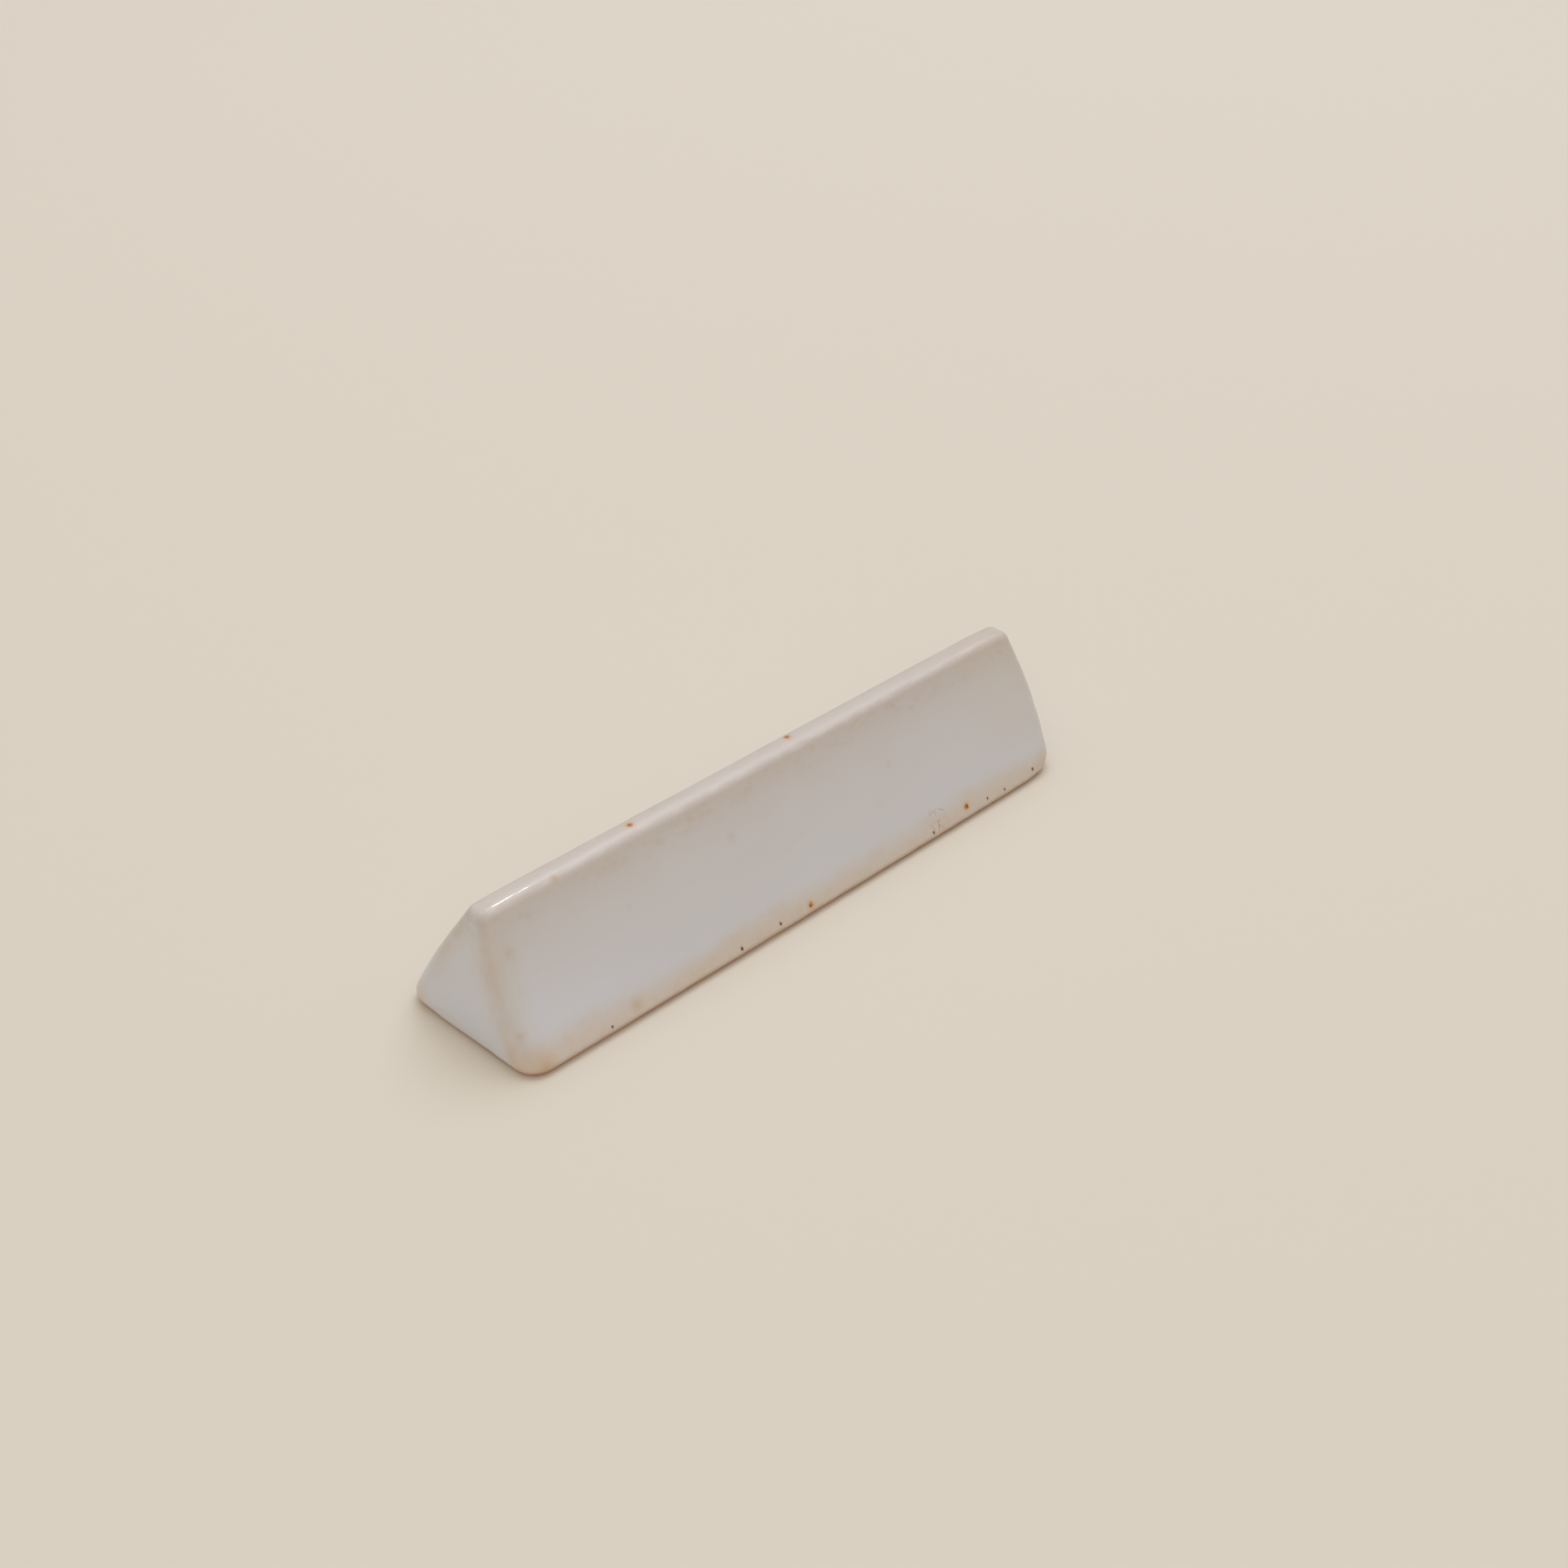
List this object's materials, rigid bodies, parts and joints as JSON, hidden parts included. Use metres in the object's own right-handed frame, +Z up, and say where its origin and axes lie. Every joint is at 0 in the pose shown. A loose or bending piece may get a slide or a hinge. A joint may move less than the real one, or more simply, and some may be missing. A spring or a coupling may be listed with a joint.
{
  "type": "glazed triangular rest bar",
  "caption": "Triangular prism bar in glazed stoneware with a flat bare foot and a soft ridge, to rest cutlery or chopsticks on.",
  "frame": {"origin": "centre of the foot, on the surface that the bar stands on", "axes": "+X along the bar, +Y across it to the back slope, +Z up to the ridge"},
  "size_m": [0.0707, 0.0172, 0.0135],
  "materials": {
    "clay": "bare fired stoneware, fine grit",
    "glaze": "satin-gloss pale blue-grey glaze, breaking to tan where it is thin",
    "rust_iron": "glossy rust-coloured iron spots",
    "dark_iron": "brown-black iron and manganese spots"
  },
  "bodies": {
    "root": {"clay_body": "clay", "glaze_coat": "glaze", "rust_specks": "rust_iron", "dark_specks": "dark_iron"}
  },
  "joints": []
}
